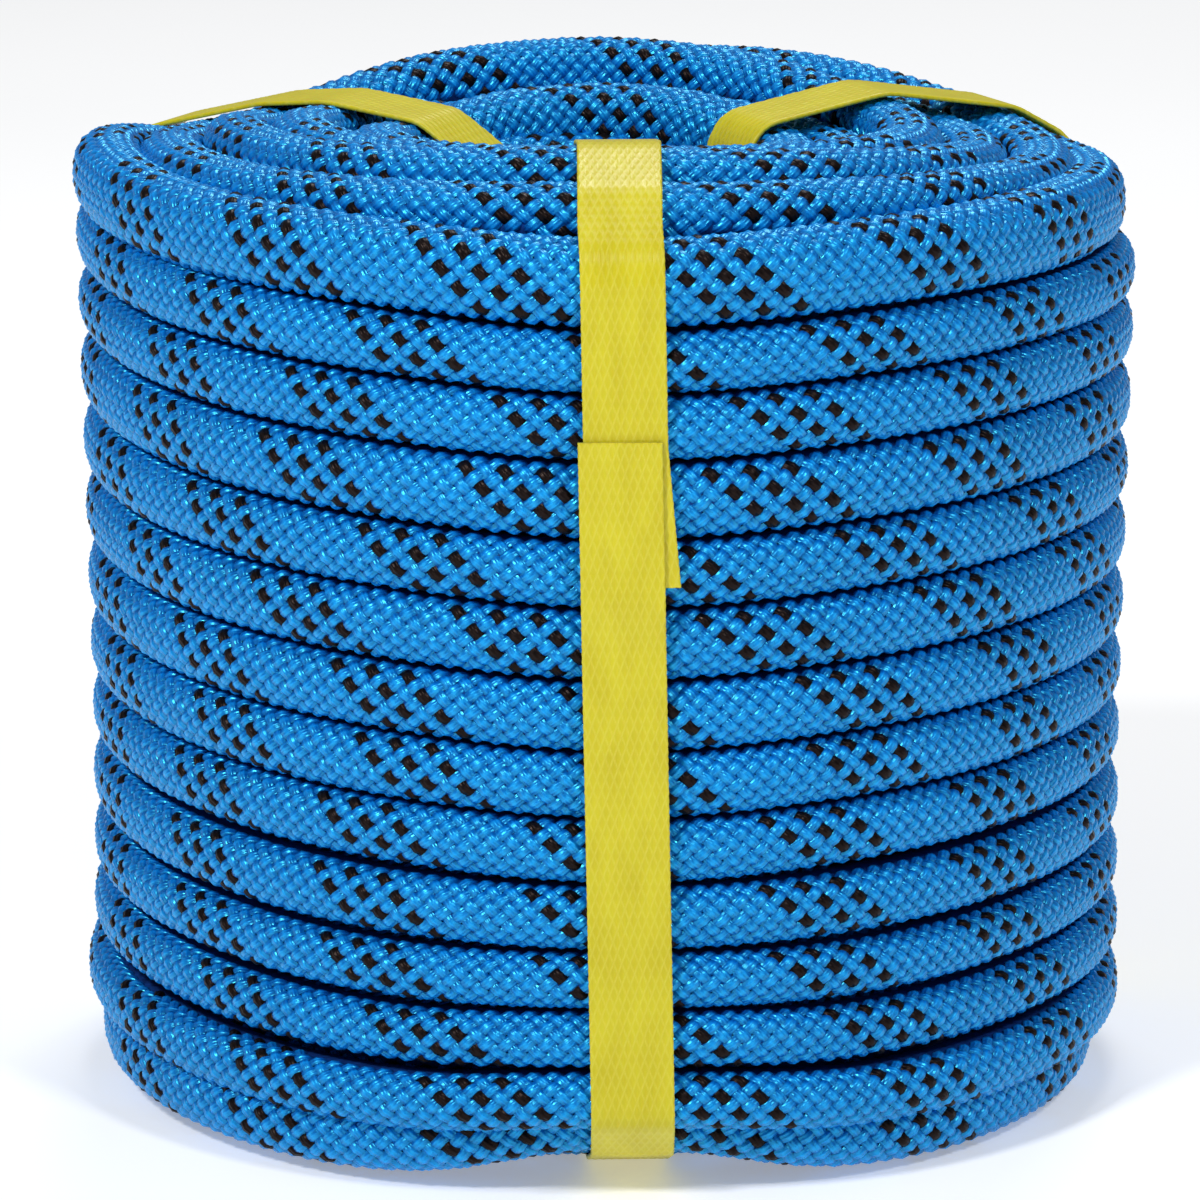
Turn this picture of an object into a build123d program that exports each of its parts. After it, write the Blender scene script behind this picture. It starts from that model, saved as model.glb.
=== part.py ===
from build123d import *

import math
import os

# A dynamic climbing rope wound into a hollow drum and held by three packing straps.
# Millimetres. +Z is the axis of the coil, and the front strap is on the -Y side.
# The origin is on the axis, at the height of the surface that the coil stands on.
# The coil is the outer shape of its turns, in three solids that meet under the straps.
# Its two ends are short runs of sheath over core.

# The rope
ROPE_DIAMETER = 10.4
ROPE_RADIUS = ROPE_DIAMETER / 2
CORE_STRAND_COUNT = 6
CORE_RADIUS = 3.4
CORE_STRAND_GAP = 0.03
SLEEVE_THICKNESS = 0.35
SLEEVE_LENGTH = 16.0
SLEEVE_OVERHANG = 0.4

# The winding, as (radius, height) of the middle of a turn
LAYER_COUNT = 6
LAYER_SPACING = 9.4
OUTER_TURN_RADIUS = 72.4
INNER_TURN_RADIUS = OUTER_TURN_RADIUS - LAYER_SPACING * (LAYER_COUNT - 1)
HOLE_RADIUS = INNER_TURN_RADIUS - ROPE_RADIUS
OUTER_TURNS = 13
TOP_TURN_HEIGHTS = [136.0, 141.6, 144.4, 143.2, 141.2, 138.6]
LOWEST_STRAIGHT_TURN = 15.6
TUCKED_TURN = (66.4, 7.0)
STANDING_EDGE_RADIUS = 56.6
CLOSER_BELOW = 3.3
CLOSER_BELOW_POWER = 1.25

# The straps
STRAP_WIDTH = 12.0
STRAP_THICKNESS = 0.65
STRAP_PINCH = 0.5
STRAP_SINK = 1.4
STRAP_SEAT_GAP = 0.15
STRAP_LAP_BOTTOM = 91.5
STRAP_LAP_TOP = 112.7
STRAP_AZIMUTHS = {"strap_front": 272, "strap_back_right": 30, "strap_back_left": 150}

# The end inside the hole, which stands up from a bend, and the end tucked under the coil
INNER_END_RADIUS = 14.6
INNER_END_AZIMUTH = 62
INNER_END_BEND = 18.0
INNER_END_FOOT = 6.0
INNER_END_TOP = 128.0
OUTER_END_RADIUS = 61.5
OUTER_END_HEIGHT = ROPE_RADIUS + 0.3
OUTER_END_START = 60
OUTER_END_STOP = 100

CUTTER_REACH = 200.0


def outer_turn_heights():
    """Heights of the outer layer's turns, which lie a little closer together towards the bottom."""
    top = TOP_TURN_HEIGHTS[0]
    heights = []
    for turn in range(OUTER_TURNS):
        share = turn / (OUTER_TURNS - 1)
        level = top + (LOWEST_STRAIGHT_TURN - top) * share
        heights.append(level - CLOSER_BELOW * math.sin(math.pi * share ** CLOSER_BELOW_POWER))
    return heights


def top_turns():
    """Middles of the turns on top of the coil, from the outer layer to the inner one."""
    return [
        (OUTER_TURN_RADIUS - LAYER_SPACING * layer, height)
        for layer, height in enumerate(TOP_TURN_HEIGHTS)
    ]


def on_section(shape):
    """Turn a flat shape drawn as (radius, height) up into the plane through the axis and +X."""
    return Plane.XZ * shape


def discs(middles, radius=ROPE_RADIUS):
    """Round sections of the rope at the given middles."""
    return [Pos(*middle) * Circle(radius) for middle in middles]


def coil_section():
    """The coil's section: a filled middle with the round turns that show around it."""
    outer = [(OUTER_TURN_RADIUS, height) for height in outer_turn_heights()]
    corners = [
        (HOLE_RADIUS, ROPE_RADIUS),
        (INNER_TURN_RADIUS, 0),
        (STANDING_EDGE_RADIUS, 0),
        TUCKED_TURN,
        outer[-1],
        *top_turns(),
        (HOLE_RADIUS, TOP_TURN_HEIGHTS[-1]),
    ]
    section = make_face(Polyline(*corners, close=True))
    edges = [TUCKED_TURN, (STANDING_EDGE_RADIUS, ROPE_RADIUS), (INNER_TURN_RADIUS, ROPE_RADIUS)]
    return section + discs(outer + edges + top_turns()[1:])


def strap_inner_outline():
    """The loop of a strap pulled tight into the turns, and kept clear of the floor."""
    raised = [
        (TUCKED_TURN[0], TUCKED_TURN[1] + STRAP_SINK),
        (STANDING_EDGE_RADIUS, ROPE_RADIUS + STRAP_SINK),
        (INNER_TURN_RADIUS, ROPE_RADIUS + STRAP_SINK),
    ]
    lowest = (OUTER_TURN_RADIUS, LOWEST_STRAIGHT_TURN)
    pinched = discs(top_turns() + [lowest] + raised, ROPE_RADIUS - STRAP_PINCH)
    return make_hull([disc.edges()[0] for disc in pinched])


def place_strap(shape, azimuth):
    """Swing a shape made about the plane of +X to its place around the coil."""
    return Rot(0, 0, azimuth) * shape


def strap(outline, azimuth):
    """One strap: a closed band with its two ends lapped and welded on the outer side."""
    loop = offset(outline, STRAP_THICKNESS, kind=Kind.ARC) - outline
    band = extrude(on_section(loop), STRAP_WIDTH / 2, both=True)
    lap_face = outline.bounding_box().max.X + STRAP_THICKNESS
    lap_height = STRAP_LAP_TOP - STRAP_LAP_BOTTOM
    lap = Pos(lap_face, 0, STRAP_LAP_BOTTOM) * Box(
        STRAP_THICKNESS, STRAP_WIDTH, lap_height, align=(Align.MIN, Align.CENTER, Align.MIN)
    )
    return place_strap(band + lap, azimuth)


def strap_seat(outline, azimuth):
    """What a strap squeezes out of the coil: everything outside its loop, over its width."""
    around = Pos(INNER_TURN_RADIUS, 0) * Rectangle(
        CUTTER_REACH, 2 * CUTTER_REACH, align=(Align.MIN, Align.CENTER)
    )
    wall = Pos(INNER_TURN_RADIUS, 0) * Rectangle(
        INNER_TURN_RADIUS, 2 * CUTTER_REACH, align=(Align.MAX, Align.CENTER)
    )
    outside = around + wall - outline
    cutter = extrude(on_section(outside), STRAP_WIDTH / 2 + STRAP_SEAT_GAP, both=True)
    return place_strap(cutter, azimuth)


def inner_end_frame():
    """Where the inner end stands, turned so that its local +X follows the turns."""
    angle = math.radians(INNER_END_AZIMUTH)
    x = INNER_END_RADIUS * math.cos(angle)
    y = INNER_END_RADIUS * math.sin(angle)
    return Pos(x, y, 0) * Rot(0, 0, INNER_END_AZIMUTH + 90)


def inner_end_bend():
    """The quarter bend that lifts the rope from the lowest inner turn up into the hole."""
    bend = revolve(
        Plane.XZ * Pos(INNER_END_BEND, 0) * Circle(ROPE_RADIUS),
        Axis.Z,
        revolution_arc=90,
    )
    upright = Pos(INNER_END_BEND, 0, INNER_END_FOOT + INNER_END_BEND) * Rot(-90, 0, 0)
    return inner_end_frame() * upright * Rot(0, 0, 90) * bend


def strand_middles():
    """Middles of the core's strands in the rope's section: one in the centre, the rest around."""
    ring = CORE_RADIUS * 2 / 3
    angles = [math.tau * strand / CORE_STRAND_COUNT for strand in range(CORE_STRAND_COUNT)]
    return [(0, 0)] + [(ring * math.cos(angle), ring * math.sin(angle)) for angle in angles]


def sheath_section():
    """Ring of the woven sheath around the core."""
    return Circle(ROPE_RADIUS) - Circle(CORE_RADIUS)


def core_section():
    """Round strands of the core, clear of each other."""
    radius = CORE_RADIUS / 3 - CORE_STRAND_GAP
    return discs(strand_middles(), radius)


def sleeve_section():
    """Ring of the sleeve shrunk on over the sheath."""
    return Circle(ROPE_RADIUS + SLEEVE_THICKNESS) - Circle(ROPE_RADIUS)


def inner_end():
    """Sheath, core and sleeve of the end that stands in the hole."""
    foot = INNER_END_FOOT + INNER_END_BEND
    height = INNER_END_TOP - foot
    base = inner_end_frame() * Pos(0, 0, foot)
    sleeve_base = inner_end_frame() * Pos(0, 0, INNER_END_TOP + SLEEVE_OVERHANG - SLEEVE_LENGTH)
    return {
        "inner_end_sheath": base * extrude(sheath_section(), height),
        "inner_end_core": Compound([base * extrude(disc, height) for disc in core_section()]),
        "inner_end_sleeve": sleeve_base * extrude(sleeve_section(), SLEEVE_LENGTH),
    }


def swept_about_axis(section, start, stop):
    """Carry a rope section around the coil's axis from one azimuth to another."""
    placed = Plane.XZ * Pos(OUTER_END_RADIUS, OUTER_END_HEIGHT) * section
    return Rot(0, 0, start) * revolve(placed, Axis.Z, revolution_arc=stop - start)


def outer_end():
    """Sheath, core and sleeve of the end tucked under the coil."""
    sleeve_arc = math.degrees(SLEEVE_LENGTH / OUTER_END_RADIUS)
    overhang = math.degrees(SLEEVE_OVERHANG / OUTER_END_RADIUS)
    sleeve_stop = OUTER_END_STOP + overhang
    strands = [swept_about_axis(disc, OUTER_END_START, OUTER_END_STOP) for disc in core_section()]
    return {
        "outer_end_sheath": swept_about_axis(sheath_section(), OUTER_END_START, OUTER_END_STOP),
        "outer_end_core": Compound(strands),
        "outer_end_sleeve": swept_about_axis(sleeve_section(), sleeve_stop - sleeve_arc, sleeve_stop),
    }


def outer_end_channel():
    """Room under the coil for the tucked end."""
    half_width = ROPE_RADIUS + SLEEVE_THICKNESS
    channel = Rectangle(2 * half_width, CUTTER_REACH, align=(Align.CENTER, Align.MAX))
    room = Pos(0, half_width) * channel
    past_end = OUTER_END_STOP + math.degrees(ROPE_RADIUS / OUTER_END_RADIUS)
    return swept_about_axis(room, OUTER_END_START, past_end)


def turns(outline, section, start, stop):
    """The turns from under the strap at one azimuth to under the next, less the seats of both."""
    sector = Rot(0, 0, start) * revolve(on_section(section), Axis.Z, revolution_arc=stop - start)
    return sector - strap_seat(outline, start) - strap_seat(outline, stop)


def coil_parts(outline):
    """The turns in three solids that meet under the straps, with the places of the two ends."""
    section = coil_section()
    front = STRAP_AZIMUTHS["strap_front"]
    right = STRAP_AZIMUTHS["strap_back_right"]
    left = STRAP_AZIMUTHS["strap_back_left"]
    back = turns(outline, section, right, left)
    return {
        "coil_right": turns(outline, section, front, right + 360),
        "coil_back": back - outer_end_channel() + inner_end_bend(),
        "coil_left": turns(outline, section, left, front),
    }


def build():
    """Every piece of the coil by the name of its node."""
    outline = strap_inner_outline()
    pieces = coil_parts(outline)
    for name, azimuth in STRAP_AZIMUTHS.items():
        pieces[name] = strap(outline, azimuth)
    pieces.update(inner_end())
    pieces.update(outer_end())
    return pieces


os.makedirs("parts", exist_ok=True)
for node, piece in build().items():
    export_step(piece, f"parts/{node}.step")
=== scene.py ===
import math

import bpy
import numpy as np
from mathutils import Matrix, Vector, kdtree


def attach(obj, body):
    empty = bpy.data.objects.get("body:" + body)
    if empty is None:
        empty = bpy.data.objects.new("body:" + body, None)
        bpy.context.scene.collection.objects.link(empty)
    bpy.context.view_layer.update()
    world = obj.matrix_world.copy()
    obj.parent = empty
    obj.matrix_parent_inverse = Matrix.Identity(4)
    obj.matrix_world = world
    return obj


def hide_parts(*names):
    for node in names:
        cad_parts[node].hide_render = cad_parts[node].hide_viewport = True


# A coil of climbing rope held by three packing straps: the wound rope with every visible float of its
# braided sheath, the straps, and the two sealed ends. Lengths are in millimetres until a mesh is
# made, azimuths in degrees. The front is towards -Y, and the winding runs to higher azimuths.

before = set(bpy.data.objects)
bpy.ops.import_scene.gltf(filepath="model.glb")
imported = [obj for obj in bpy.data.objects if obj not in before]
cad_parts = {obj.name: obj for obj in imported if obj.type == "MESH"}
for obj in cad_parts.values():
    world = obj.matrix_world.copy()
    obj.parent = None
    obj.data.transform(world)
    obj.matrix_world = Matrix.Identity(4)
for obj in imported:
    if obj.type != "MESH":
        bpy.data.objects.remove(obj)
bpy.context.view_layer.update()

METRE = 0.001
TURN = 360.0
FRONT = 270.0

# The rope and its braid
ROPE_DIAMETER = 10.4
ROPE_RADIUS = ROPE_DIAMETER / 2
BODY_LIFT = -0.5
BODY_SIDES = 12
CARRIERS = 12
BRAID_LAY = 33.0
TRACERS = (0, 2, 4)
LAST_TRACER_SHARE = TRACERS[-1] / CARRIERS

# The section of a turn, squeezed by its neighbours into a soft square
FLATTENING = 2.5
PACKED_HALF_DEPTH = 5.35
PACKED_HALF_HEIGHT = 5.12

# The winding: middles of turns as they pass the front, as (radius, height)
LAYER_RADII = [25.4, 34.8, 44.2, 53.6, 63.4, 72.4]
TOP_HEIGHTS = [140.2, 142.1, 143.9, 145.9, 142.9]
LOWEST_ROWS = [(25.4, 5.3), (34.6, 5.3), (44.0, 5.3), (55.2, 5.3), (63.0, 19.0)]
ROWS_IN_LAYER = [14, 14, 14, 14, 13]
# Heights of the grooves between the outer turns at the front, from the top of the first turn down
OUTER_GROOVES = [141.1, 128.3, 119.1, 109.5, 98.0, 88.0, 77.4, 66.9, 57.0, 47.4, 37.6, 29.1, 20.4, 11.5]
OUTER_ROWS = [(upper + lower) / 2 for upper, lower in zip(OUTER_GROOVES, OUTER_GROOVES[1:])]
HALF_HEIGHTS = [(upper - lower) / 2 for upper, lower in zip(OUTER_GROOVES, OUTER_GROOVES[1:])]
TUCKED_ROW = (66.4, 12.4)
OUTER_END = (61.5, 5.5)
OUTER_END_AZIMUTH = 100.0
OUTER_END_STEP = (0.25, 0.5)
POINTS_PER_TURN = 24
NURBS_SHRINK = 0.9915
SPLINE_STEPS = 3

# Where the band of tracers crosses the middle of each outer turn, in degrees from the front
BAND_AZIMUTHS = [
    -7.8, -17.6, -26.0, -29.6, -40.5, -56.3, -70.7, -68.6, -74.7, -74.8, -73.9, -67.4, -60.3, -62.8
]
BAND_PERIOD = 26.2

# How a turn changes over to the next one on its way round, in shares of a turn from the front
STEP_SHARPNESS = 0.6
STEP_LAG = 0.07
OUTWARD_STEP = (0.36, 0.55)
RISING_STEP = (0.50, 0.69)

# The straps, and how they pinch the drum
STRAP_AZIMUTHS = {"strap_front": 272.0, "strap_back_right": 30.0, "strap_back_left": 150.0}
PINCH_WIDTH = 16.0
PLAN_CORNER = 2.2
TAPER = 1.3
TAPER_LOW = -0.35
MID_HEIGHT = 75.0
HALF_TALL = 60.0

# Between the straps, the foot's turns lie lower and further out
SAG_HEIGHTS = [12.4, 16.0, 24.8, 33.3, 42.5, 52.0]
SAGS = [7.0, 3.5, 2.7, 1.8, 0.9, 0.0]
FOOT_SPREAD = 3.3
FOOT_SKEW = 0.35
FOOT_FORWARD = 0.6
SPREAD_FALL = 4.0
STRAP_ROOM = 1.6

# Beside the front strap, the outer turns stand higher than under it
BULGE_HEIGHTS = [12.0, 30.0, 60.0, 118.0, 130.0]
BULGE = [0.4, 0.8, 1.1, 1.1, 1.7]

# The top sinks away from the front and under the back straps
TOP_AZIMUTHS = [0, 30, 60, 90, 120, 150, 165, 180, 210, 241, 270, 299, 330, 360]
TOP_SHIFTS = [-8.7, -9.2, -4.6, -3.8, -5.8, -10.5, -8.8, -6.0, -4.2, -1.8, 0.0, -1.8, -5.0, -8.7]
SHIFT_RADII = [25.0, 35.0, 44.0, 53.0, 63.0, 72.4]
SHIFT_SHARES = [0.55, 0.57, 0.62, 1.0, 1.0, 0.0]

# The rim, which is the first turn of the outer layer and less so those below it
RIM_AZIMUTHS = [0, 30, 50, 75, 90, 110, 120, 130, 140, 150, 160, 168, 180, 200, 320, 340, 360]
RIM_SHIFTS = [-1.5, -3.4, 0.2, 2.2, 0.8, 0.8, -0.5, -3.0, -5.5, -7.0, -2.0, 1.5, 1.7, 0.6, 0, -0.5, -1.5]
RIM_INSETS = [-2.0, -3.4, -2.6, -1.0, 0, 0, -0.6, -1.2, -2.0, -2.8, -1.5, 0, 0.5, 0, 0, -1.2, -2.0]
RIM_FALL = 25.0

# Where each of these shifts sets in, as ranges of height or radius at the front
RIM_HEIGHTS = (124.0, 136.0)
RIM_RADII = (66.0, 72.0)
FOOT_RADII = (58.0, 66.0)
TOP_SHIFT_HEIGHTS = (105.0, 140.0)
OUTER_SHIFT_RADII = (63.0, 70.0)

# The end that stands in the hole
INNER_END_RADIUS = 14.6
INNER_END_AZIMUTH = 62.0
INNER_END_TOP = 128.0
INNER_END_ROUTE = [
    (0.0, 128.0), (0.0, 104.0), (0.0, 80.0), (0.0, 56.0), (0.0, 36.0), (0.0, 20.0), (5.0, 8.5)
]
INNER_END_LEAD = 75.0
WOUND_FROM = 1.5 * INNER_END_TOP

# A float of the braid: its half length and width, and how its crown falls away
FLOAT_REACH = 1.62
FLOAT_HALF_WIDTH = 0.93
FLOAT_ALONG = np.array([-1.0, -0.6, 0.0, 0.6, 1.0])
FLOAT_ACROSS = np.array([-1.0, -0.58, 0.0, 0.58, 1.0])
FLOAT_EDGES = np.array([-0.4, -0.11, 0.03, -0.11, -0.4])
FLOAT_CROWN = 0.14
FLOAT_DIP = 0.72
FLOAT_TAPER = 0.18
FLOAT_UNEVEN = 0.07
FLOAT_TILT = 0.09
PROBE_LIFT = 4.0
PROBE_CLEARANCE = 4.5
PROBE_STEP = 2.5

# The straps' band
STRAP_HALF_WIDTH = 6.0
STRAP_THICKNESS = 0.65
STRAP_CLEARANCE = 0.15
STRAP_STEP = 0.3
STRAP_COLUMNS = 61
LAP_TOP = 113.8
LAP_BOTTOM = 91.5
LAP_LIFT = 0.75
LAP_EASE = 9.0
EMBOSS_WIDTH = 1.2
EMBOSS_LENGTH = 3.2
EMBOSS_DEPTH = 0.1
EDGE_WAVE = 0.03
EDGE_ROUND = 0.12
EDGE_FROM = 0.99
LOOP_SIDES = 48
SOFTENING = 7
# Sideways wander, as (share of the strap's length from its upper end, distance)
FRONT_DRIFT = [
    (0, -0.9), (0.27, 1.3), (0.5, 0.0), (0.72, 0.6), (0.79, 0.2), (0.87, -0.7), (0.95, -0.1), (1, 1.8)
]
BACK_DRIFT = [(0, 0.0), (0.5, 0.4), (1, 0.0)]

# The cut ends. A strand's profile is (distance from the cut, share of its radius), and the sleeve's
# is (distance from the cut, lift over the sheath).
CORE_STRANDS = 6
CORE_RING = 2.27
STRAND_RADIUS = 1.08
STRAND_SIDES = 10
CORE_LAY = 42.0
STRAND_PROFILE = [(-0.35, 0.7), (-0.25, 0.95), (0.0, 1.0), (4.0, 1.0), (8.0, 1.0), (12.0, 1.0)]
SLEEVE_PROFILE = [
    (16.0, -0.2), (15.9, 0.3), (15.4, 0.42), (11.0, 0.36), (6.0, 0.42), (0.6, 0.4), (0.1, 0.2),
    (-0.1, -0.3), (0.0, -1.2),
]
SLEEVE_SIDES = 32

# The yarns' colours and gloss. Filaments laid side by side glint more than plain nylon.
SILK_IOR = 1.85
YARN = {
    "base": (0.0005, 0.092, 0.41),
    "light": (0.002, 0.18, 0.66),
    # Painted highlight: the pale cyan band across the crown of each float
    "painted_crown_highlight": (0.006, 0.33, 0.9),
    # Painted shade: the dark blue where a float dives under and along its edges
    "painted_float_shade": (0.0003, 0.016, 0.14),
    "roughness": 0.28,
    "glint": 1.0,
    "tint": (0.08, 0.78, 1),
}
TRACER_YARN = {
    "base": (0.0015, 0.0012, 0.002),
    "light": (0.006, 0.004, 0.004),
    # Painted highlight: the brownish band across the crown of each float
    "painted_crown_highlight": (0.008, 0.005, 0.005),
    # Painted shade where a float dives under and along its edges
    "painted_float_shade": (0.0005, 0.0005, 0.001),
    "roughness": 0.3,
    "glint": 0.06,
    "tint": (1, 0.72, 0.62),
}
FILAMENTS = 9.0
FILAMENT_TWIST = 0.9
FILAMENT_SHIFT = 6.0
FINE_GRAIN = 1500.0
PATCH_GRAIN = 45.0
YARN_RELIEF = 0.00007
# How much painted highlight a float gets at its crown and painted shade towards its ends and edges, as
# the amounts at the two ends of a range, and that range in half lengths or half widths
CROWN_PAINTED_HIGHLIGHT = (0.62, 0.0, 0.06, 0.34)
DIVE_PAINTED_SHADE = (0.0, 0.85, 0.42, 1.0)
EDGE_PAINTED_SHADE = (0.0, 0.6, 0.5, 1.0)

# The other colours
# Painted shade: the dark navy of the rope body that shows between the floats
PAINTED_BODY_SHADE_DARK = (0.001, 0.02, 0.12)
PAINTED_BODY_SHADE_BLUE = (0.002, 0.05, 0.26)
BAND_DEEP = (0.53, 0.45, 0.005)
BAND_LIGHT = (0.60, 0.53, 0.012)
# Painted highlight on the strap's pressed ridges
BAND_RIDGE_PAINTED_HIGHLIGHT = (0.70, 0.65, 0.10)
CORE_SHADE = (0.62, 0.61, 0.57)
CORE_WHITE = (0.86, 0.86, 0.83)
SLEEVE_BLACK = (0.012, 0.013, 0.016)
SLEEVE_SMEAR = (0.03, 0.031, 0.035)
FLOOR_SHADE = (0.88, 0.885, 0.89)
FLOOR_WHITE = (0.91, 0.912, 0.915)

# The camera, in metres, degrees and millimetres of lens
CAMERA_PLACE = (0.0, -1.3395, 0.4018)
CAMERA_TILT = 90.0 - 13.89
CAMERA_LENS = 275.25
CAMERA_SENSOR = 36.0
CAMERA_SHIFT = -0.0052
CAMERA_REACH = 20.0

# The studio, in metres and watts. A light is its name, place, size and power.
WORLD_COLOUR = (0.95, 0.97, 1.0, 1)
WORLD_GLOW = 0.24
FLOOR_SIZE = 8.0
FLOOR_HEIGHT = -0.0005
FLOOR_GLOW = 0.3
LIGHTS = [
    ("key_light", (-0.65, -0.9, 1.05), 0.22, 11.5),
    ("fill_light", (0.65, -0.85, 1.1), 0.22, 6.5),
    ("back_light", (0.1, 0.7, 1.2), 0.5, 6.0),
]


def smooth(low, high, value):
    """0 below low, 1 above high, and an eased rise between."""
    share = np.clip((value - low) / (high - low), 0, 1)
    return share * share * (3 - 2 * share)


def angle_between(azimuth, other):
    """Signed degrees from one azimuth to another, the short way round."""
    return (azimuth - other + TURN / 2) % TURN - TURN / 2


def nearness(azimuth, strap):
    """1 at a strap, falling to 0 beside it."""
    return math.exp(-((angle_between(azimuth, STRAP_AZIMUTHS[strap]) / PINCH_WIDTH) ** 2))


def front_rows():
    """(radius, height) of every turn at the front, from the lowest inner turn to the tucked one."""
    rows = []
    for layer, count in enumerate(ROWS_IN_LAYER):
        top = TOP_HEIGHTS[layer]
        foot = LOWEST_ROWS[layer]
        second = foot[1] + (top - foot[1]) / (count - 1)
        heights = np.linspace(second, top, count - 1)
        rising = [foot] + [(LAYER_RADII[layer], height) for height in heights]
        rows += rising if layer % 2 == 0 else rising[::-1]
    rows += [(LAYER_RADII[-1], height) for height in OUTER_ROWS]
    rows.append(TUCKED_ROW)
    return rows


def step_progress(row, share):
    """How far a turn has gone over to the next one, at a share of its way round from the front."""
    outward, rising = changing_rows()
    if row in outward:
        return smooth(*OUTWARD_STEP, share)
    if row in rising:
        return smooth(*RISING_STEP, share)
    wave = math.sin(math.tau * (share - STEP_LAG)) + math.sin(math.tau * STEP_LAG)
    return share - STEP_SHARPNESS * wave / math.tau


def changing_rows():
    """The top turns that step out to the next layer, and the turns that rise to take their place."""
    outward = [sum(ROWS_IN_LAYER[: layer + 1]) - 1 for layer in (2, 4)]
    return outward, [row - 1 for row in outward]


def top_shift(radius, azimuth):
    """How much higher a turn on top of the coil is here than at the front."""
    share = np.interp(radius, SHIFT_RADII, SHIFT_SHARES)
    return share * np.interp(azimuth % TURN, TOP_AZIMUTHS, TOP_SHIFTS)


def outer_shift(height, azimuth):
    """How much higher a turn of the outer layer is here than at the front."""
    ahead = max(math.cos(math.radians(azimuth - FRONT)), 0.0)
    bulge = np.interp(height, BULGE_HEIGHTS, BULGE) * ahead * (1 - nearness(azimuth, "strap_front"))
    below_rim = max(OUTER_ROWS[0] - height, 0.0)
    rim = np.interp(azimuth % TURN, RIM_AZIMUTHS, RIM_SHIFTS) * math.exp(-below_rim / RIM_FALL)
    return bulge + rim


def shaped(radius, height, azimuth):
    """A point of the ideal winding moved to where the tied coil has it."""
    outer_share = radius / LAYER_RADII[-1]
    near = max(nearness(azimuth, strap) for strap in STRAP_AZIMUTHS)
    corner = PLAN_CORNER * math.cos(math.radians(3 * (azimuth - FRONT))) * outer_share**2
    taper = TAPER * np.clip((height - MID_HEIGHT) / HALF_TALL, TAPER_LOW, 1) * outer_share
    across = math.cos(math.radians(azimuth))
    rim = smooth(*RIM_HEIGHTS, height) * smooth(*RIM_RADII, radius)
    inset = rim * np.interp(azimuth % TURN, RIM_AZIMUTHS, RIM_INSETS)
    foot = (1 - near) * smooth(*FOOT_RADII, radius)
    above_foot = max(height - TUCKED_ROW[1], 0.0)
    corner *= 1 - foot * math.exp(-above_foot / SPREAD_FALL)
    forward = max(math.cos(math.radians(azimuth - FRONT)), 0.0)
    lean = 1 - FOOT_SKEW * across + FOOT_FORWARD * forward
    foot_out = FOOT_SPREAD * lean * foot * math.exp(-above_foot / SPREAD_FALL)
    new_height = height - foot * np.interp(height, SAG_HEIGHTS, SAGS)
    new_height += top_shift(radius, azimuth) * smooth(*TOP_SHIFT_HEIGHTS, height)
    new_height += outer_shift(height, azimuth) * smooth(*OUTER_SHIFT_RADII, radius)
    new_height = max(new_height, ROPE_RADIUS + STRAP_ROOM * near)
    new_radius = radius + corner + taper + inset + foot_out
    angle = math.radians(azimuth)
    return Vector((new_radius * math.cos(angle), new_radius * math.sin(angle), new_height))


def inner_end_points():
    """The end in the hole: straight down, then round a bend into the lowest inner turn."""
    angle = math.radians(INNER_END_AZIMUTH)
    foot = INNER_END_RADIUS * Vector((math.cos(angle), math.sin(angle), 0))
    forward = Vector((-math.sin(angle), math.cos(angle), 0))
    return [foot + forward * ahead + Vector((0, 0, height)) for ahead, height in INNER_END_ROUTE]


def route_points():
    """Control points of the whole rope, from the end in the hole to the end under the coil."""
    rows = front_rows()
    last_row = len(rows) - 1
    first = (INNER_END_AZIMUTH + INNER_END_LEAD - FRONT) / TURN
    last = last_row + (OUTER_END_AZIMUTH - FRONT + TURN) / TURN
    rows.append(OUTER_END)
    steps = int(round((last - first) * POINTS_PER_TURN))
    points = inner_end_points()
    for travelled in np.linspace(first, last, steps + 1):
        row = math.floor(travelled)
        share = step_progress(row, travelled - row)
        if row == last_row:
            share = smooth(*OUTER_END_STEP, travelled - row)
        here, after = rows[max(row, 0)], rows[row + 1]
        radius = here[0] + (after[0] - here[0]) * share
        height = here[1] + (after[1] - here[1]) * share
        point = shaped(radius, height, FRONT + TURN * travelled)
        points.append(Vector((point.x / NURBS_SHRINK, point.y / NURBS_SHRINK, point.z)))
    return points


def read_spline(points):
    """The smooth line of a NURBS route, as points in millimetres."""
    curve = bpy.data.curves.new("route", "CURVE")
    curve.dimensions = "3D"
    curve.resolution_u = SPLINE_STEPS
    spline = curve.splines.new("NURBS")
    spline.points.add(len(points) - 1)
    for target, point in zip(spline.points, points):
        target.co = (*point, 1.0)
    spline.order_u = 3
    spline.use_endpoint_u = True
    holder = bpy.data.objects.new("route", curve)
    bpy.context.scene.collection.objects.link(holder)
    mesh = bpy.data.meshes.new_from_object(holder)
    line = np.array([vertex.co for vertex in mesh.vertices])
    bpy.data.objects.remove(holder)
    bpy.data.curves.remove(curve)
    bpy.data.meshes.remove(mesh)
    return line


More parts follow.
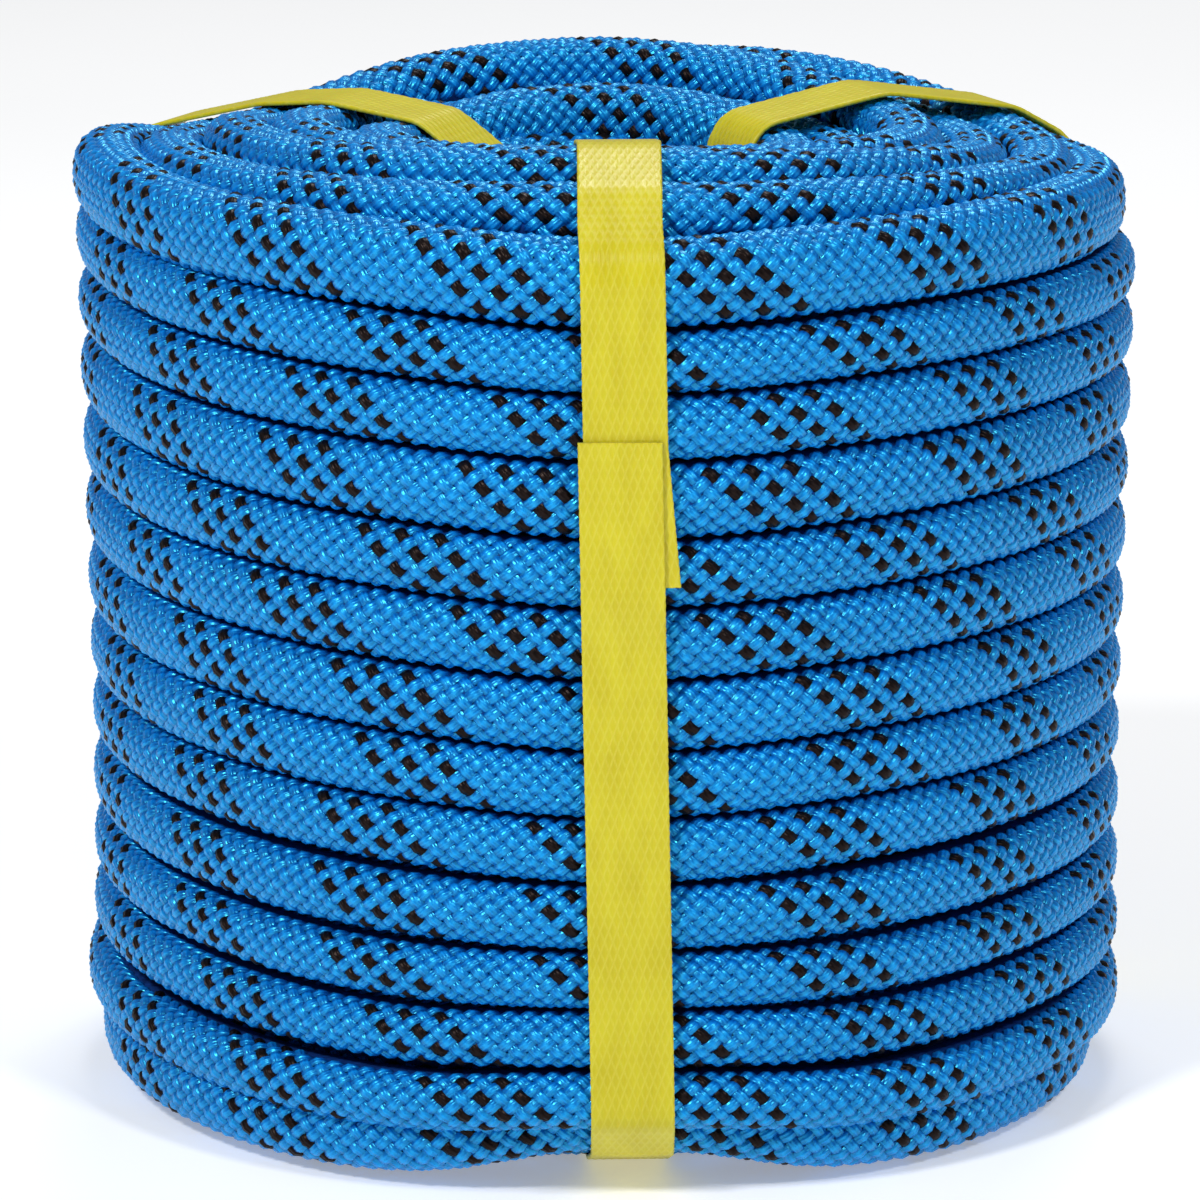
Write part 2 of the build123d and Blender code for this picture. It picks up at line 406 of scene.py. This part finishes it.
class Line:
    """The rope's middle line with the directions out of the coil and up, by length along it."""

    def __init__(self, points):
        self.points = points
        steps = np.linalg.norm(np.diff(points, axis=0), axis=1)
        self.along = np.concatenate([[0], np.cumsum(steps)])
        self.length = self.along[-1]
        tangent = np.gradient(points, axis=0)
        tangent /= np.linalg.norm(tangent, axis=1)[:, None]
        outward = points * [1, 1, 0]
        outward -= tangent * (outward * tangent).sum(1)[:, None]
        outward /= np.linalg.norm(outward, axis=1)[:, None]
        self.tangent = tangent
        self.outward = outward
        self.upward = np.cross(outward, tangent)
        self.front_passes = self.passes(FRONT)
        outer_passes = self.front_passes[-len(BAND_AZIMUTHS):]
        heights = HALF_HEIGHTS + [PACKED_HALF_HEIGHT]
        before = outer_passes[0] - math.tau * LAYER_RADII[-1] / 2
        knots = np.concatenate([[before], outer_passes])
        self.half_height = np.interp(self.along, knots, [PACKED_HALF_HEIGHT] + heights)
        self.lays = self.braid_lays()

    def passes(self, azimuth):
        """Lengths along the rope at which it passes an azimuth, outside the hole."""
        turned = np.unwrap(np.radians(azimuth_of(self.points) - azimuth))
        wound = self.along > INNER_END_TOP
        count = np.floor(turned / math.tau)
        here = np.nonzero((np.diff(count) > 0) & wound[:-1])[0]
        share = (count[here + 1] * math.tau - turned[here]) / (turned[here + 1] - turned[here])
        return self.along[here] + share * (self.along[here + 1] - self.along[here])

    def braid_lays(self):
        """Braid lays made up to each point: the nominal lay, eased so that bands fall where they do."""
        knots, lays = [0.0], [0.0]
        rows = self.front_passes[-len(BAND_AZIMUTHS):]
        first = rows[0] / BRAID_LAY
        for index, row in enumerate(rows):
            target = LAST_TRACER_SHARE - BAND_AZIMUTHS[index] / BAND_PERIOD
            expected = first if index == 0 else lays[-1] + (row - knots[-1]) / BRAID_LAY
            knots.append(row)
            lays.append(target + round(expected - target))
        knots.append(self.length)
        lays.append(lays[-1] + (self.length - knots[-2]) / BRAID_LAY)
        return np.interp(self.along, knots, lays)

    def at(self, field, along):
        """A field of the line's points, read at lengths along it."""
        return np.stack([np.interp(along, self.along, field[:, axis]) for axis in range(3)], axis=-1)

    def beyond(self, along):
        """The middle line, carried straight on past its two ends."""
        extra = along - np.clip(along, 0.0, self.length)
        return self.at(self.points, along) + extra[..., None] * self.at(self.tangent, along)

    def across(self, along, angle):
        """Directions square to the rope, at an angle from the outward direction towards up."""
        outward = self.at(self.outward, along)
        upward = self.at(self.upward, along)
        return np.cos(angle)[..., None] * outward + np.sin(angle)[..., None] * upward

    def sheath_radius(self, along, angle):
        """Radius of the sheath: round at the end in the hole, squeezed into a soft square where wound."""
        depth = np.abs(np.cos(angle) / PACKED_HALF_DEPTH) ** FLATTENING
        half_height = np.interp(along, self.along, self.half_height)
        height = np.abs(np.sin(angle) / half_height) ** FLATTENING
        squeezed = (depth + height) ** (-1 / FLATTENING)
        wound = smooth(INNER_END_TOP, WOUND_FROM, along)
        return ROPE_RADIUS + (squeezed - ROPE_RADIUS) * wound

    def surface(self, along, angle, lift):
        """Points at a lift above the sheath."""
        radius = self.sheath_radius(along, angle) + lift
        return self.beyond(along) + radius[..., None] * self.across(along, angle)


def azimuth_of(points):
    """Degrees round the axis from +X."""
    return np.degrees(np.arctan2(points[..., 1], points[..., 0]))


def new_piece(name, vertices, faces, material, weave=None):
    """A smooth mesh piece that rides on the part's one body. weave is an attribute for its material."""
    mesh = bpy.data.meshes.new(name)
    mesh.vertices.add(len(vertices))
    mesh.vertices.foreach_set("co", (np.asarray(vertices) * METRE).astype(np.float32).ravel())
    faces = np.asarray(faces, np.int32)
    mesh.loops.add(faces.size)
    mesh.loops.foreach_set("vertex_index", faces.ravel())
    mesh.polygons.add(len(faces))
    mesh.polygons.foreach_set("loop_start", np.arange(0, faces.size, faces.shape[1], dtype=np.int32))
    mesh.update(calc_edges=True)
    mesh.polygons.foreach_set("use_smooth", np.full(len(mesh.polygons), True))
    if weave is not None:
        attribute = mesh.attributes.new("weave", "FLOAT_VECTOR", "POINT")
        attribute.data.foreach_set("vector", np.asarray(weave, np.float32).ravel())
    mesh.materials.append(material)
    piece = bpy.data.objects.new(name, mesh)
    bpy.context.scene.collection.objects.link(piece)
    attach(piece, "root")
    return piece


def grid_faces(rows, columns, wrap=False):
    """Quads of a grid of points, rows by columns, closed across the columns if wrap is set."""
    last_column = columns if wrap else columns - 1
    row, column = np.meshgrid(np.arange(rows - 1), np.arange(last_column), indexing="ij")
    beside = (column + 1) % columns
    here, after = row * columns, (row + 1) * columns
    quads = [after + column, after + beside, here + beside, here + column]
    return np.stack(quads, axis=-1).reshape(-1, 4)


def fan_quads(ring):
    """A ring of an even number of points closed by quads that share its first point."""
    return [[ring[0], ring[n], ring[n + 1], ring[n + 2]] for n in range(1, len(ring) - 2, 2)]


def closed_tube_faces(rows, columns):
    """Quads of a tube of rings with both of its ends closed."""
    first = list(range(columns))
    last = [(rows - 1) * columns + column for column in range(columns)]
    ends = fan_quads(first) + fan_quads(last[::-1])
    return np.concatenate([grid_faces(rows, columns, wrap=True), np.array(ends)])


def ring_angles(sides):
    """Even angles round a ring."""
    return np.linspace(0, math.tau, sides, endpoint=False)


def rope_body(line, material):
    """The rope under its floats, as a closed tube."""
    along, angle = np.meshgrid(line.along, ring_angles(BODY_SIDES), indexing="ij")
    points = line.surface(along, angle, BODY_LIFT).reshape(-1, 3)
    faces = closed_tube_faces(len(line.along), BODY_SIDES)
    return new_piece("rope_body", points, faces, material)


def crossings(line, parity):
    """Every place where a yarn of one direction lies on top: length along, angle and yarn number."""
    count = int(line.lays[-1] * 2 * CARRIERS)
    number = np.arange(1, count)
    number = number[number % 2 == parity]
    number, yarn = np.meshgrid(number, np.arange(CARRIERS), indexing="ij")
    along = np.interp(number / (2 * CARRIERS), line.lays, line.along)
    angle = math.tau * (number / (2 * CARRIERS) + yarn / CARRIERS)
    crossing_yarn = (number + yarn) % CARRIERS
    return along.ravel(), angle.ravel(), crossing_yarn.ravel()


def exposed(line, along, angle):
    """Which places on the sheath have no other turn lying against them."""
    tree_points = line.at(line.points, np.arange(0, line.length, PROBE_STEP))
    tree = kdtree.KDTree(len(tree_points))
    for index, point in enumerate(tree_points):
        tree.insert(point, index)
    tree.balance()
    probes = line.surface(along, angle, PROBE_LIFT)
    return np.array([tree.find(probe)[2] > PROBE_CLEARANCE for probe in probes])


def floats(name, line, along, angle, hand, material):
    """Raised floats of the braid as small crowned patches. hand is +1 for /, -1 for the other way."""
    slope = math.atan2(math.tau * ROPE_RADIUS, BRAID_LAY)
    lengthwise, crosswise = np.meshgrid(FLOAT_ALONG, FLOAT_ACROSS, indexing="ij")
    edge_drop = np.broadcast_to(FLOAT_EDGES, lengthwise.shape).ravel()
    lengthwise, crosswise = lengthwise.ravel(), crosswise.ravel()
    run = lengthwise * FLOAT_REACH
    side = crosswise * FLOAT_HALF_WIDTH * (1 - FLOAT_TAPER * lengthwise**2)
    shift = run * math.cos(slope) - side * math.sin(slope) * hand
    around = run * math.sin(slope) * hand + side * math.cos(slope)
    height = FLOAT_CROWN - FLOAT_DIP * lengthwise**2 + edge_drop
    shade, lift, tilt = np.random.default_rng(len(along)).random((3, len(along)))
    lift = FLOAT_UNEVEN * (lift[:, None] - 0.5) + FLOAT_TILT * (tilt[:, None] - 0.5) * lengthwise[None, :]
    spots = along[:, None] + shift[None, :]
    turned = angle[:, None] + around[None, :] / ROPE_RADIUS
    points = line.surface(spots, turned, height[None, :] + lift).reshape(-1, 3)
    patch = grid_faces(len(FLOAT_ALONG), len(FLOAT_ACROSS))
    faces = (patch[None] + (np.arange(len(along)) * len(lengthwise))[:, None, None]).reshape(-1, 4)
    weave = np.stack(np.broadcast_arrays(lengthwise[None], crosswise[None], shade[:, None]), axis=-1)
    return new_piece(name, points, faces, material, weave)


def braid(line, blue, black):
    """The floats of both directions, with the tracers apart from the rest."""
    along, angle, yarn = crossings(line, 0)
    seen = exposed(line, along, angle)
    right = floats("sheath_yarns_right", line, along[seen], angle[seen], 1, blue)
    along, angle, yarn = crossings(line, 1)
    seen = exposed(line, along, angle)
    plain = seen & ~np.isin(yarn, TRACERS)
    tracer = seen & np.isin(yarn, TRACERS)
    left = floats("sheath_yarns_left", line, along[plain], angle[plain], -1, blue)
    tracers = floats("tracer_yarns", line, along[tracer], angle[tracer], -1, black)
    return [right, left, tracers]


def from_end(line, distance, at_start):
    """Length along the rope at a distance from one of its cut ends."""
    return distance if at_start else line.length - distance


def core_strands(name, cad_node, line, at_start, material):
    """The laid strands of the core, standing a little proud of the cut."""
    profile = np.array(STRAND_PROFILE)
    along = from_end(line, profile[:, 0], at_start)
    angle = ring_angles(STRAND_SIDES)
    if not at_start:
        angle = angle[::-1]
    vertices, faces = [], []
    for strand in range(CORE_STRANDS + 1):
        ring = CORE_RING if strand else 0.0
        turned = math.tau * (strand / CORE_STRANDS + along / CORE_LAY)
        middle = line.beyond(along) + ring * line.across(along, turned)
        around = line.across(*np.meshgrid(along, angle, indexing="ij"))
        reach = STRAND_RADIUS * profile[:, 1]
        faces.append(closed_tube_faces(len(profile), STRAND_SIDES) + len(profile) * STRAND_SIDES * strand)
        vertices.append((middle[:, None, :] + reach[:, None, None] * around).reshape(-1, 3))
    piece = new_piece(name, np.concatenate(vertices), np.concatenate(faces), material)
    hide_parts(cad_node)
    return piece


def sleeve(name, cad_node, line, at_start, material):
    """The sleeve shrunk on over a cut end and rolled in over its rim."""
    profile = np.array(SLEEVE_PROFILE)
    places = from_end(line, profile[:, 0], at_start)
    along, angle = np.meshgrid(places, ring_angles(SLEEVE_SIDES), indexing="ij")
    lift = np.broadcast_to(profile[:, 1:], along.shape)
    points = line.surface(along, angle, lift).reshape(-1, 3)
    faces = grid_faces(len(profile), SLEEVE_SIDES, wrap=True)
    piece = new_piece(name, points, faces[:, ::-1] if at_start else faces, material)
    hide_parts(cad_node)
    return piece


def convex_outline(points):
    """Corners of the convex hull of flat points, counter-clockwise."""
    ordered = sorted(map(tuple, points))
    chains = []
    for run in (ordered, ordered[::-1]):
        chain = []
        for point in run:
            while len(chain) > 1:
                a, b = chain[-2], chain[-1]
                if (b[0] - a[0]) * (point[1] - a[1]) - (b[1] - a[1]) * (point[0] - a[0]) > 0:
                    break
                chain.pop()
            chain.append(point)
        chains.append(chain[:-1])
    return np.array(chains[0] + chains[1])


def strap_loop(line, azimuth):
    """The closed path of a strap pulled tight round the turns at an azimuth, as (radius, height)."""
    angle = math.radians(azimuth)
    outward = np.array([math.cos(angle), math.sin(angle)])
    passes = np.add.outer(line.passes(azimuth), STRAP_HALF_WIDTH * np.array([-1, 0, 1])).ravel()
    middles = line.at(line.points, passes)
    turns = np.stack([middles[:, :2] @ outward, middles[:, 2]], axis=1)
    around = ring_angles(LOOP_SIDES)
    reach = line.sheath_radius(*np.meshgrid(passes, around, indexing="ij")) + STRAP_CLEARANCE
    ring = np.stack([np.cos(around), np.sin(around)], axis=1)
    return convex_outline((turns[:, None, :] + reach[..., None] * ring[None]).reshape(-1, 2))


def resampled(path, step):
    """A path's points again, at even steps along it."""
    lengths = np.concatenate([[0], np.cumsum(np.linalg.norm(np.diff(path, axis=0), axis=1))])
    along = np.linspace(0, lengths[-1], int(lengths[-1] / step))
    return np.stack([np.interp(along, lengths, path[:, axis]) for axis in range(path.shape[1])], axis=1)


def strap_path(line, azimuth):
    """The strap from its upper end, down, under, up the hole, over and down to its lower end."""
    loop = strap_loop(line, azimuth)
    outer = loop[:, 0].max()
    closed = resampled(np.concatenate([loop, loop[:1]]), STRAP_STEP)[:-1][::-1]
    inside = closed[:, 0] < outer - STRAP_HALF_WIDTH
    start = np.argmin(np.abs(closed[:, 1] - LAP_TOP) + LAP_TOP * inside)
    closed = np.roll(closed, -start, axis=0)
    extra = int((LAP_TOP - LAP_BOTTOM) / STRAP_STEP)
    path = np.concatenate([closed, closed[:extra]])
    window = np.hanning(2 * SOFTENING + 1)
    window /= window.sum()
    padded = np.pad(path, ((SOFTENING, SOFTENING), (0, 0)), mode="edge")
    softened = [np.convolve(padded[:, axis], window, mode="valid") for axis in range(2)]
    return np.stack(softened, axis=1)


def emboss(run, across):
    """Height of the pressed-in diamonds, from 0 in a groove to 1 on a ridge."""
    slant = across * STRAP_HALF_WIDTH / EMBOSS_WIDTH
    length = run / EMBOSS_LENGTH
    rising = 1 - np.abs(np.sin(math.pi * (slant + length)))
    falling = 1 - np.abs(np.sin(math.pi * (slant - length)))
    return np.maximum(rising, falling)


def strap(name, cad_node, line, drift, material):
    """One packing strap as a thin embossed band with its ends lapped. drift is its sideways wander."""
    path = strap_path(line, STRAP_AZIMUTHS[cad_node])
    direction = np.gradient(path, axis=0)
    direction /= np.linalg.norm(direction, axis=1)[:, None]
    normal = np.stack([-direction[:, 1], direction[:, 0]], axis=1)
    run = np.arange(len(path)) * STRAP_STEP
    lap = LAP_TOP - LAP_BOTTOM
    raised = LAP_LIFT * (1 - smooth(lap, lap + LAP_EASE, run))
    sideways = np.interp(run / run[-1], *zip(*drift))
    across = np.linspace(-1, 1, STRAP_COLUMNS)
    half_width = STRAP_HALF_WIDTH + EDGE_WAVE * np.cos(math.tau * run / EMBOSS_WIDTH)
    ridges = emboss(run[:, None], across[None, :])
    top = STRAP_THICKNESS - EMBOSS_DEPTH * (1 - ridges) - EDGE_ROUND * (np.abs(across) > EDGE_FROM)
    under_sides = np.array([1.0, 0.0, -1.0])
    sides = np.concatenate([across, under_sides])
    lifts = np.concatenate([top, np.zeros((len(path), len(under_sides)))], axis=1) + raised[:, None]
    width = sides[None, :] * half_width[:, None] + sideways[:, None]
    radial = path[:, :1] + lifts * normal[:, :1]
    vertical = path[:, 1:] + lifts * normal[:, 1:]
    angle = math.radians(STRAP_AZIMUTHS[cad_node])
    x = radial * math.cos(angle) - width * math.sin(angle)
    y = radial * math.sin(angle) + width * math.cos(angle)
    points = np.stack([x, y, vertical], axis=-1).reshape(-1, 3)
    pressed = np.concatenate([ridges, np.ones((len(path), len(under_sides)))], axis=1)
    run_and_width = np.broadcast_arrays(run[:, None], sides[None, :] * STRAP_HALF_WIDTH, pressed)
    weave = np.stack(run_and_width, axis=-1)
    faces = closed_tube_faces(len(path), len(sides))
    piece = new_piece(name, points, faces, material, weave)
    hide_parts(cad_node)
    return piece


def node(tree, kind, settings=None, **inputs):
    """Add a shader node. Inputs are sockets to link or constants, by name with _ for a space."""
    made = tree.nodes.new(kind)
    for key, value in (settings or {}).items():
        setattr(made, key, value)
    for key, value in inputs.items():
        socket = made.inputs[int(key[1:])] if key[1:].isdigit() else made.inputs[key.replace("_", " ")]
        if isinstance(value, bpy.types.NodeSocket):
            tree.links.new(value, socket)
        else:
            socket.default_value = value
    return made


def math_node(tree, operation, first, second=0.0, third=0.0):
    """One step of arithmetic on sockets and numbers."""
    made = node(tree, "ShaderNodeMath", {"operation": operation}, i0=first, i1=second, i2=third)
    return made.outputs[0]


def blend(tree, share, first, second):
    """A colour between two, where share is a socket."""
    first = (*first, 1) if isinstance(first, tuple) else first
    second = (*second, 1) if isinstance(second, tuple) else second
    made = node(tree, "ShaderNodeMix", {"data_type": "RGBA"}, i0=share, i6=first, i7=second)
    return made.outputs[2]


def new_material(name):
    """An empty node material and its tree."""
    material = bpy.data.materials.new(name)
    material.use_nodes = True
    return material, material.node_tree


def noise(tree, scale, detail=2.0, stretch=(1, 1, 1), vector=None):
    """Noise over the piece's own coordinates, in features per metre."""
    if vector is None:
        vector = node(tree, "ShaderNodeTexCoord").outputs["Object"]
    placed = node(tree, "ShaderNodeMapping", Vector=vector, Scale=stretch).outputs[0]
    made = node(tree, "ShaderNodeTexNoise", Vector=placed, Scale=scale, Detail=detail)
    return made.outputs["Fac"]


def spread(tree, value, low, high, from_low=0.3, from_high=0.7):
    """A value moved from one range into another, and held inside it."""
    made = node(
        tree, "ShaderNodeMapRange", Value=value,
        From_Min=from_low, From_Max=from_high, To_Min=low, To_Max=high,
    )
    return made.outputs[0]


def finish_material(tree, colour, roughness, bump_height, bump_distance, **constants):
    """Join a colour, a roughness and a bump to the shader, and set its constants."""
    shader = tree.nodes["Principled BSDF"]
    tree.links.new(colour, shader.inputs["Base Color"])
    tree.links.new(roughness, shader.inputs["Roughness"])
    bump = node(tree, "ShaderNodeBump", Height=bump_height, Distance=bump_distance, Strength=1.0)
    tree.links.new(bump.outputs[0], shader.inputs["Normal"])
    for key, value in constants.items():
        shader.inputs[key.replace("_", " ")].default_value = value


def weave_parts(tree):
    """The three numbers of a piece's weave attribute."""
    attribute = node(tree, "ShaderNodeAttribute", {"attribute_name": "weave"})
    return node(tree, "ShaderNodeSeparateXYZ", Vector=attribute.outputs["Vector"]).outputs


def yarn_material(name, base, light, painted_crown_highlight, painted_float_shade, roughness, glint, tint):
    """Bundles of fine filaments, streaked along, with a painted highlight across the crown and painted
    shade where they dive under and at their edges.
    """
    material, tree = new_material(name)
    along, across, shade = weave_parts(tree)
    twist = math_node(tree, "MULTIPLY", along, FILAMENT_TWIST)
    phase = math_node(tree, "MULTIPLY_ADD", shade, FILAMENT_SHIFT, twist)
    strands = math_node(tree, "SINE", math_node(tree, "MULTIPLY_ADD", across, FILAMENTS, phase))
    fine = noise(tree, FINE_GRAIN, 3.0)
    patches = noise(tree, PATCH_GRAIN, 1.0)
    streak = math_node(tree, "MULTIPLY_ADD", strands, 0.2, fine)
    patched = math_node(tree, "MULTIPLY_ADD", patches, 0.5, streak)
    tone = math_node(tree, "MULTIPLY_ADD", shade, 0.35, patched)
    colour = blend(tree, spread(tree, tone, 0.0, 1.0, 0.55, 1.25), base, light)
    from_crown = math_node(tree, "ABSOLUTE", along)
    from_middle = math_node(tree, "ABSOLUTE", across)
    # Painted highlight across the crown of each float
    colour = blend(tree, spread(tree, from_crown, *CROWN_PAINTED_HIGHLIGHT), colour, painted_crown_highlight)
    # Painted shade where a float dives under and along its edges
    dive_shade_share = spread(tree, from_crown, *DIVE_PAINTED_SHADE)
    edge = spread(tree, from_middle, *EDGE_PAINTED_SHADE)
    colour = blend(tree, math_node(tree, "MAXIMUM", dive_shade_share, edge), colour, painted_float_shade)
    bump_height = math_node(tree, "MULTIPLY_ADD", strands, 0.5, fine)
    finish_material(
        tree, colour, spread(tree, fine, roughness - 0.03, roughness + 0.1), bump_height, YARN_RELIEF,
        IOR=SILK_IOR, Specular_IOR_Level=glint, Specular_Tint=(*tint, 1),
    )
    return material


def shadow_material():
    """The sheath between the floats, painted dark as the shade that falls there."""
    material, tree = new_material("sheath_body_painted_shadow")
    speckle = noise(tree, 700.0, 3.0)
    colour = blend(tree, spread(tree, speckle, 0.0, 1.0), PAINTED_BODY_SHADE_DARK, PAINTED_BODY_SHADE_BLUE)
    finish_material(tree, colour, spread(tree, speckle, 0.7, 0.9), speckle, 0.0002, Specular_IOR_Level=0.2)
    return material


def strap_material():
    """Drawn polypropylene band: satin, faintly streaked along, with a painted highlight on its pressed
    ridges.
    """
    material, tree = new_material("packing_band")
    run, width, ridge = weave_parts(tree)
    place = node(tree, "ShaderNodeCombineXYZ", X=run, Y=width).outputs[0]
    streaks = noise(tree, 1.0, 3.0, (0.12, 2.4, 1.0), place)
    cloud = noise(tree, 0.25, 2.0, (0.4, 1.0, 1.0), place)
    colour = blend(tree, spread(tree, cloud, 0.0, 1.0), BAND_DEEP, BAND_LIGHT)
    # Painted highlight on the pressed ridges, broken up by the streaks
    ridge_top = spread(tree, ridge, 0.0, 0.55, 0.45, 1.0)
    lit = math_node(tree, "MULTIPLY", ridge_top, spread(tree, streaks, 0.5, 1.0))
    colour = blend(tree, lit, colour, BAND_RIDGE_PAINTED_HIGHLIGHT)
    finish_material(
        tree, colour, spread(tree, streaks, 0.3, 0.46), streaks, 0.00004,
        Specular_IOR_Level=0.35, Subsurface_Weight=0.06, Subsurface_Scale=0.001,
    )
    return material


def core_material():
    """White nylon yarn of the core."""
    material, tree = new_material("core_nylon")
    fibres = noise(tree, 2200.0, 3.0, (1.0, 1.0, 0.15))
    colour = blend(tree, spread(tree, fibres, 0.0, 1.0), CORE_SHADE, CORE_WHITE)
    finish_material(tree, colour, spread(tree, fibres, 0.45, 0.7), fibres, 0.0001, Sheen_Weight=0.2)
    return material


def sleeve_material():
    """Dark shrink sleeve with a slightly rippled gloss."""
    material, tree = new_material("shrink_sleeve")
    ripple = noise(tree, 420.0, 2.0)
    smear = noise(tree, 90.0, 2.0)
    colour = blend(tree, spread(tree, smear, 0.0, 1.0), SLEEVE_BLACK, SLEEVE_SMEAR)
    finish_material(tree, colour, spread(tree, smear, 0.25, 0.42), ripple, 0.0001, Coat_Weight=0.2)
    return material


def floor_material():
    """White studio floor, faintly uneven, that gives back a little light."""
    material, tree = new_material("studio_white")
    cloud = noise(tree, 3.0, 2.0)
    colour = blend(tree, spread(tree, cloud, 0.0, 1.0), FLOOR_SHADE, FLOOR_WHITE)
    finish_material(
        tree, colour, spread(tree, cloud, 0.6, 0.7), cloud, 0.00005,
        Emission_Color=(1.0, 1.0, 1.0, 1.0), Emission_Strength=FLOOR_GLOW, Specular_IOR_Level=0.2,
    )
    return material


def make_camera():
    """The photograph's view, a little above the coil."""
    data = bpy.data.cameras.new("photo_camera")
    data.lens = CAMERA_LENS
    data.sensor_width = CAMERA_SENSOR
    data.shift_x = CAMERA_SHIFT
    data.clip_end = CAMERA_REACH
    camera = bpy.data.objects.new("photo_camera", data)
    camera.location = CAMERA_PLACE
    camera.rotation_euler = (math.radians(CAMERA_TILT), 0.0, 0.0)
    bpy.context.scene.collection.objects.link(camera)
    bpy.context.scene.camera = camera


def area_light(name, place, size, power):
    """A round soft light that looks at the middle of the coil."""
    data = bpy.data.lights.new(name, "AREA")
    data.shape = "DISK"
    data.size = size
    data.energy = power
    light = bpy.data.objects.new(name, data)
    light.location = place
    aim = Vector((0, 0, MID_HEIGHT * METRE))
    light.rotation_euler = (aim - Vector(place)).to_track_quat("-Z", "Y").to_euler()
    bpy.context.scene.collection.objects.link(light)


def make_studio():
    """A pale floor, an even glow and three soft lights."""
    bpy.ops.mesh.primitive_plane_add(size=FLOOR_SIZE, location=(0, 0, FLOOR_HEIGHT))
    floor = bpy.context.object
    floor.name = "studio_floor"
    floor.data.materials.append(floor_material())
    world = bpy.data.worlds.new("studio")
    world.use_nodes = True
    background = world.node_tree.nodes["Background"]
    background.inputs["Color"].default_value = WORLD_COLOUR
    background.inputs["Strength"].default_value = WORLD_GLOW
    bpy.context.scene.world = world
    for light in LIGHTS:
        area_light(*light)
    bpy.context.scene.view_settings.view_transform = "Standard"


line = Line(read_spline(route_points()))
blue = yarn_material("sheath_yarn", **YARN)
black = yarn_material("tracer_yarn", **TRACER_YARN)
body = rope_body(line, shadow_material())
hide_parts("coil_right", "coil_back", "coil_left", "inner_end_sheath", "outer_end_sheath")
on_rope = braid(line, blue, black)
core, shrink = core_material(), sleeve_material()
on_rope.append(core_strands("inner_core_strands", "inner_end_core", line, True, core))
on_rope.append(core_strands("outer_core_strands", "outer_end_core", line, False, core))
on_rope.append(sleeve("inner_shrink_sleeve", "inner_end_sleeve", line, True, shrink))
on_rope.append(sleeve("outer_shrink_sleeve", "outer_end_sleeve", line, False, shrink))
yellow = strap_material()
strap("front_strap_band", "strap_front", line, FRONT_DRIFT, yellow)
strap("back_left_strap_band", "strap_back_left", line, BACK_DRIFT, yellow)
strap("back_right_strap_band", "strap_back_right", line, BACK_DRIFT, yellow)
make_camera()
make_studio()
